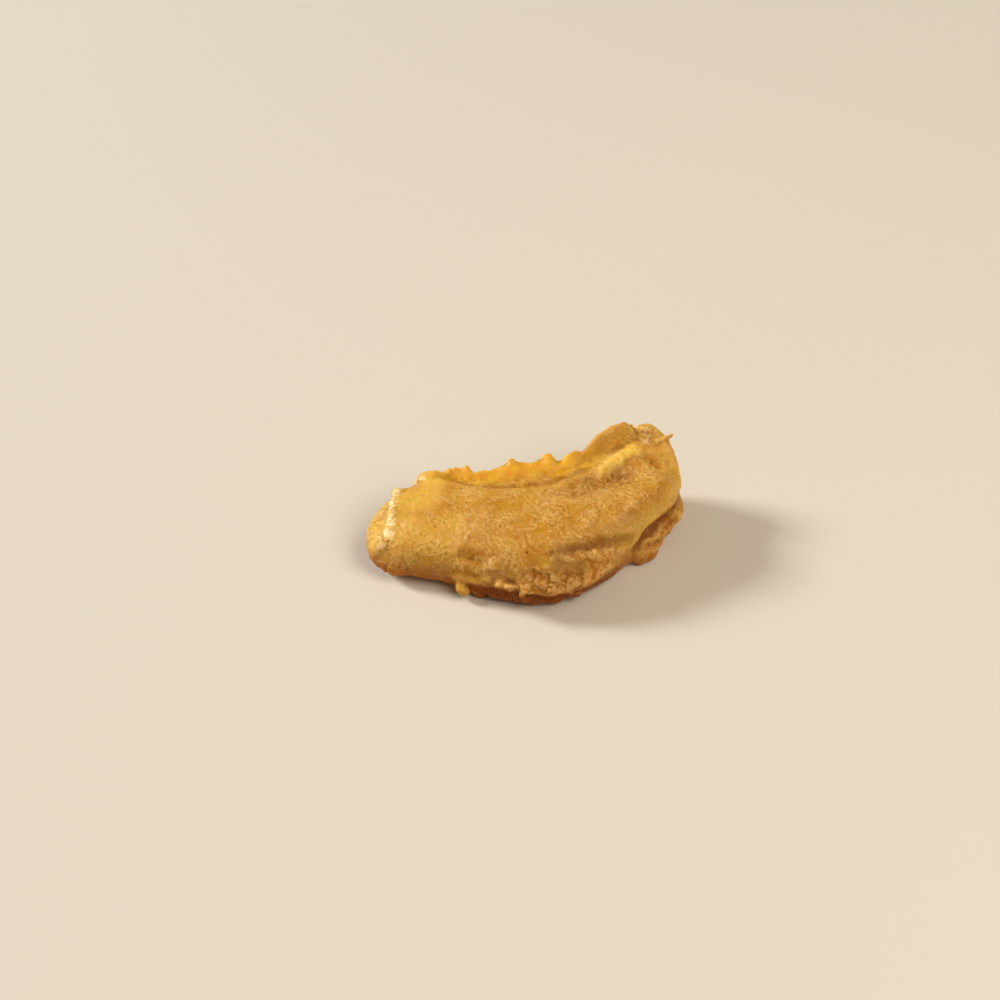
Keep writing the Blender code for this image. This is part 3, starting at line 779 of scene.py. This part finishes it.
def mark_depth(mesh, name, rounds):
    """Store how far each point lies under its averaged surroundings, in millimetres."""
    normals = np.zeros(len(mesh.vertices) * 3)
    mesh.vertices.foreach_get("normal", normals)
    points = points_of(mesh)
    sunk = averaged(points, *edge_ends(mesh), rounds) - points
    depth = (sunk * normals.reshape(-1, 3)).sum(axis=1) / MM
    mesh.attributes.new(name, "FLOAT", "POINT").data.foreach_set("value", depth.astype(np.float32))
    print(name, "depth at 5, 50 and 95 percent:", np.percentile(depth, (5, 50, 95)).round(3), "mm")


mark_depth(crust, "crease", CREASE_ROUNDS)
mark_depth(crust, "hollow", HOLLOW_ROUNDS)

# %% [markdown]
# ## The finished piece
#
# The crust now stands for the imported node. The last points are kept on or above the table, because the real
# piece flattens where it lies, and the faces are shaded smooth.

# %% The piece itself
points = points_of(crust)
points[:, 2] = np.maximum(points[:, 2], 0)
crust.vertices.foreach_set("co", points.ravel())
crust.materials.clear()
crust.materials.append(batter)
crust.polygons.foreach_set("material_index", np.zeros(len(crust.polygons), int))
crust.update()
crust.shade_smooth()
fillet = new_object("fried_fillet", crust)
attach(fillet, "root")
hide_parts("fillet")
print("the finished crust has", len(crust.vertices), "points and", len(crust.materials), "material")

# %% [markdown]
# ## The look of fried batter
#
# Fried batter is not one colour, and light and shade are painted into its colour too. Thin wet parts are a
# clear amber; raised dry parts and the tops of wrinkles are a paler cream-gold, partly a painted highlight;
# faces that turn to the light get a painted yellow highlight, and the blunt end painted glints; the fin is
# painted a bright yellow-orange for the light that comes through it; and hollows, undersides and low walls
# get painted shade in a toasted and a deep brown. The colours are laid over each other in that order, each
# by an area or by the depths stored above.

# %% Helpers for materials
def srgb(red, green, blue):
    """A colour as seen on screen, 0 to 255, in the linear values that Blender mixes."""
    def linear(c):
        c /= 255
        return c / 12.92 if c <= 0.04045 else ((c + 0.055) / 1.055) ** 2.4
    return (linear(red), linear(green), linear(blue), 1.0)


def shader_group(name, inputs, outputs):
    """An empty shader group with named inputs, which are numbers or colours, and named outputs."""
    group = bpy.data.node_groups.new(name, "ShaderNodeTree")
    for key, value in inputs.items():
        kind = "NodeSocketColor" if isinstance(value, tuple) else "NodeSocketFloat"
        group.interface.new_socket(key, in_out="INPUT", socket_type=kind).default_value = value
    for key, kind in outputs.items():
        group.interface.new_socket(key, in_out="OUTPUT", socket_type=kind)
    return group, group.nodes.new("NodeGroupInput").outputs, group.nodes.new("NodeGroupOutput").inputs


def blend(tree, share, under, over):
    """One colour laid over another by a share."""
    inputs = {0: share, 6: under, 7: over}
    return wire(tree, "ShaderNodeMix", inputs, data_type="RGBA").outputs[2]


def painted(tree, name):
    """A float attribute of the mesh, in a material."""
    return wire(tree, "ShaderNodeAttribute", attribute_name=name).outputs["Fac"]


def object_place(tree):
    """The point's own place in millimetres."""
    return scaled(tree, wire(tree, "ShaderNodeTexCoord").outputs["Object"], 1 / MM)


# %% [markdown]
# Two patterns are groups, built once and placed with their own values: tiny dark specks of spice, and short
# pale flecks where the dried skin of the batter wrinkled, partly a painted highlight on the wrinkles. The
# flecks lean as the wrinkles of the mesh do.

# %% Specks and flecks
SPECKS = {"Spacing": 3.0, "Size": 0.12, "Share": 0.22}
FLECKS = {"Width": FLECK, "Cover": 0.5}


def pepper_group():
    """Mask of tiny dark specks of spice: one in several cells has one."""
    group, given, out = shader_group("specks", SPECKS, {"Mask": "NodeSocketFloat"})
    place = object_place(group)
    scale = calc(group, "DIVIDE", 1.0, given["Spacing"])
    dots = wire(group, "ShaderNodeTexVoronoi", {"Vector": place, "Scale": scale}, feature="F1")
    pick = wire(group, "ShaderNodeSeparateColor", {0: dots.outputs["Color"]})
    chosen = calc(group, "LESS_THAN", pick.outputs[0], given["Share"])
    size = times(group, given["Size"], plus(group, 0.5, pick.outputs[1]))
    inside = minus(group, size, dots.outputs["Distance"])
    soft = calc(group, "DIVIDE", inside, times(group, given["Size"], 0.5), clamp=True)
    group.links.new(times(group, soft, chosen), out["Mask"])
    return group


def fleck_group():
    """Mask of short pale streaks where the dried skin of the batter wrinkled, partly a painted highlight."""
    group, given, out = shader_group("flecks", FLECKS, {"Mask": "NodeSocketFloat"})
    place = flowed(group, object_place(group))
    scale = calc(group, "DIVIDE", 1.0, given["Width"])
    inputs = {"Vector": place, "Scale": scale, "Detail": 4.0, "Roughness": 0.7}
    fine = wire(group, "ShaderNodeTexNoise", inputs).outputs[0]
    low = minus(group, 0.7, times(group, given["Cover"], 0.5))
    group.links.new(stretch(group, fine, low, plus(group, low, 0.3)), out["Mask"])
    return group


specks_group = pepper_group()
flecks_group = fleck_group()
print("groups:", specks_group.name, "and", flecks_group.name)

# %% [markdown]
# The material below puts the groups to work. Light enters real batter and comes out a few millimetres away,
# so the shader has some subsurface scattering, widest in red. A thin coat stands for the film of oil,
# stronger in some patches than in others, and a fine bump gives the grain that is too small for the mesh.

# %% Fried batter
AMBER = srgb(193, 130, 18)
GOLD = srgb(203, 149, 38)
CREAM = srgb(248, 214, 146)
HONEY = srgb(186, 116, 14)
FIN_YELLOW = srgb(244, 188, 26)
ORANGE = srgb(228, 142, 4)
YELLOW_END_AND_PAINTED_LIGHT = srgb(252, 212, 98)
TOAST_AND_PAINTED_SHADE = srgb(188, 98, 6)
SHADE_BROWN = srgb(118, 52, 0)
PAINTED_GLINT_PALE = srgb(255, 236, 188)
SPICE = srgb(116, 66, 30)
CRUMBS = {"Width": 0.55, "Cover": 0.42}
GAPS = {"Width": 0.7, "Cover": 0.36}
GRAIN_HEIGHT = 0.14 * MM
GLOSS = {
    "Coat Roughness": 0.16, "Coat IOR": 1.47, "IOR": 1.45, "Specular IOR Level": 0.16,
    "Subsurface Weight": 0.7, "Subsurface Radius": (1.0, 0.42, 0.1), "Subsurface Scale": 0.0022}


def pale_flecks_and_painted_tops(tree, place, flecks, crease):
    """Pale dried skin on the flecks, partly a painted highlight, and a painted highlight on wrinkle tops."""
    dry = patches(tree, place, painted(tree, "calm"))
    pale = times(tree, plus(tree, times(tree, flecks, 0.35), 0.12), dry)
    tops = plus(tree, 0.2, times(tree, painted(tree, "foam"), 0.1))
    return plus(tree, pale, times(tree, stretch(tree, crease, 0.0, -0.06), tops), clamp=True)


def batter_colour(tree, place, flecks, crumbs, gaps, specks):
    """Amber and gold, with each layer laid over the ones before it."""
    crease = painted(tree, "crease")
    fin = painted(tree, "fin")
    hollow = stretch(tree, painted(tree, "hollow"), 0.08, 0.8)
    syrup = times(tree, stretch(tree, noise(tree, place, 3.4), 0.5, 0.66), fin)
    end_yellow_and_painted_light = calc(tree, "MAXIMUM", painted(tree, "fold"), times(tree, painted(tree, "end"), 0.6))
    broken = stretch(tree, noise(tree, place, 1.7, 4.0, 0.65), 0.45, 0.55)
    layers = (
        # painted shade in the hollows, and toasted foam, in a toasted brown
        (plus(tree, times(tree, hollow, 0.5), times(tree, painted(tree, "foam"), 0.3)), TOAST_AND_PAINTED_SHADE),
        # pale dried flecks, partly a painted highlight, and a painted highlight on the tops of wrinkles
        (pale_flecks_and_painted_tops(tree, place, flecks, crease), CREAM),
        # darker gaps and pale crumbs of the grain, partly painted shade and partly painted highlight
        (times(tree, gaps, 0.2), HONEY),
        (times(tree, crumbs, 0.58), CREAM),
        # the fin painted yellow for the light that comes through it
        (times(tree, fin, 0.7), FIN_YELLOW),
        (times(tree, syrup, 0.4), ORANGE),
        # painted light where faces turn to the light, and the yellow of the blunt end
        (times(tree, end_yellow_and_painted_light, 0.8), YELLOW_END_AND_PAINTED_LIGHT),
        # painted glints along the end ridge, the shoulder edge, the nose and the crown
        (times(tree, painted(tree, "ridge"), broken, 0.85), PAINTED_GLINT_PALE),
        # painted shade on the low walls and undersides, partly toasted
        (times(tree, painted(tree, "under"), 0.78), TOAST_AND_PAINTED_SHADE),
        # painted shade in the shade areas and in the creases
        (times(tree, painted(tree, "shade"), 0.72), SHADE_BROWN),
        (times(tree, stretch(tree, crease, 0.015, 0.12), 0.3), SHADE_BROWN),
        (specks, SPICE))
    colour = blend(tree, stretch(tree, noise(tree, place, 7.0, 3.0), 0.32, 0.68), AMBER, GOLD)
    for share, paint in layers:
        colour = blend(tree, share, colour, paint)
    return colour


def wetness(tree):
    """The ridge area and the fin shine most."""
    return calc(tree, "MAXIMUM", painted(tree, "ridge"), times(tree, painted(tree, "fin"), 0.6))


def oil_film(tree, place, wet):
    """Strength of the coat: patches of oil, gone where the crust is shaded or lies under."""
    oil = stretch(tree, noise(tree, place, 5.0), 0.4, 0.65)
    film = plus(tree, times(tree, oil, 0.5), times(tree, wet, 0.6), clamp=True)
    dull = calc(tree, "MAXIMUM", painted(tree, "shade"), painted(tree, "under"))
    return times(tree, film, minus(tree, 1.0, dull, clamp=True))


def batter_material(material):
    """Colour, gloss and grain of the crust."""
    material.use_nodes = True
    tree = material.node_tree
    tree.nodes.clear()
    place = object_place(tree)
    flecks = wire(tree, "ShaderNodeGroup", node_tree=flecks_group).outputs["Mask"]
    crumbs = wire(tree, "ShaderNodeGroup", CRUMBS, node_tree=flecks_group).outputs["Mask"]
    gaps = wire(tree, "ShaderNodeGroup", GAPS, node_tree=flecks_group).outputs["Mask"]
    specks = wire(tree, "ShaderNodeGroup", node_tree=specks_group).outputs["Mask"]
    wet = wetness(tree)
    roughness = stretch(tree, noise(tree, place, 1.6, 3.0), 0.3, 0.7, 0.22, 0.46)
    grain = minus(tree, plus(tree, noise(tree, place, 0.5, 3.0, 0.6), crumbs), gaps)
    fine = {"Height": grain, "Strength": 1.0, "Distance": GRAIN_HEIGHT}
    bump = wire(tree, "ShaderNodeBump", fine).outputs[0]
    shader = wire(tree, "ShaderNodeBsdfPrincipled", {
        "Base Color": batter_colour(tree, place, flecks, crumbs, gaps, specks),
        "Roughness": minus(tree, roughness, times(tree, wet, 0.14)),
        "Coat Weight": oil_film(tree, place, wet), "Normal": bump, "Coat Normal": bump, **GLOSS})
    output = tree.nodes.new("ShaderNodeOutputMaterial")
    tree.links.new(shader.outputs[0], output.inputs["Surface"])


batter_material(batter)
print("the batter has", len(batter.node_tree.nodes), "nodes")

# %% [markdown]
# ## The floor
#
# The piece lies on a plain pale floor, large enough to reach past the picture on every side. It is only a
# stage and no part of the piece.

# %% Floor
FLOOR_HALF = 3.0
FLOOR_COLOUR = srgb(222, 217, 209)
FLOOR_ROUGHNESS = 0.6


def floor_mesh():
    """One large square on the ground."""
    corners = [(x * FLOOR_HALF, y * FLOOR_HALF, 0) for x, y in ((-1, -1), (1, -1), (1, 1), (-1, 1))]
    mesh = bpy.data.meshes.new("floor")
    mesh.from_pydata(corners, [], [(0, 1, 2, 3)])
    return mesh


floor = new_object("floor", floor_mesh())
pale_floor = bpy.data.materials.new("pale floor")
pale_floor.use_nodes = True
floor_shader = pale_floor.node_tree.nodes["Principled BSDF"]
floor_shader.inputs["Base Color"].default_value = FLOOR_COLOUR
floor_shader.inputs["Roughness"].default_value = FLOOR_ROUGHNESS
floor.data.materials.append(pale_floor)
print("the floor is", 2 * FLOOR_HALF, "m wide")

# %% [markdown]
# ## Light
#
# One soft light stands behind and to the left, as in the picture: it brightens the blunt end and rakes over
# the wrinkles. A weaker and warmer one fills the near side, and a sky of even light keeps the shadows open.
# Colours are shown as they are mixed, without a film curve.

# %% Lights
WINDOW = {"place": (-1.764, 1.206, 1.224), "size": 0.54, "watts": 55.5, "colour": (1.0, 0.98, 0.91)}
FILL = {"place": (0.55, -0.5, 1.0), "size": 0.8, "watts": 9.5, "colour": (1.0, 0.88, 0.71)}
SKY_COLOUR = (1.0, 0.82, 0.58, 1.0)
SKY_STRENGTH = 0.22


def soft_light(name, place, size, watts, colour):
    """A square light that faces the fillet."""
    lamp = bpy.data.lights.new(name, "AREA")
    lamp.size = size
    lamp.energy = watts
    lamp.color = colour
    thing = bpy.data.objects.new(name, lamp)
    bpy.context.scene.collection.objects.link(thing)
    thing.location = place
    thing.rotation_euler = (-Vector(place)).to_track_quat("-Z", "Y").to_euler()
    return thing


soft_light("window", **WINDOW)
soft_light("fill", **FILL)

sky = bpy.data.worlds.new("even light")
sky.use_nodes = True
sky.node_tree.nodes["Background"].inputs["Color"].default_value = SKY_COLOUR
sky.node_tree.nodes["Background"].inputs["Strength"].default_value = SKY_STRENGTH
bpy.context.scene.world = sky
bpy.context.scene.view_settings.view_transform = "Standard"
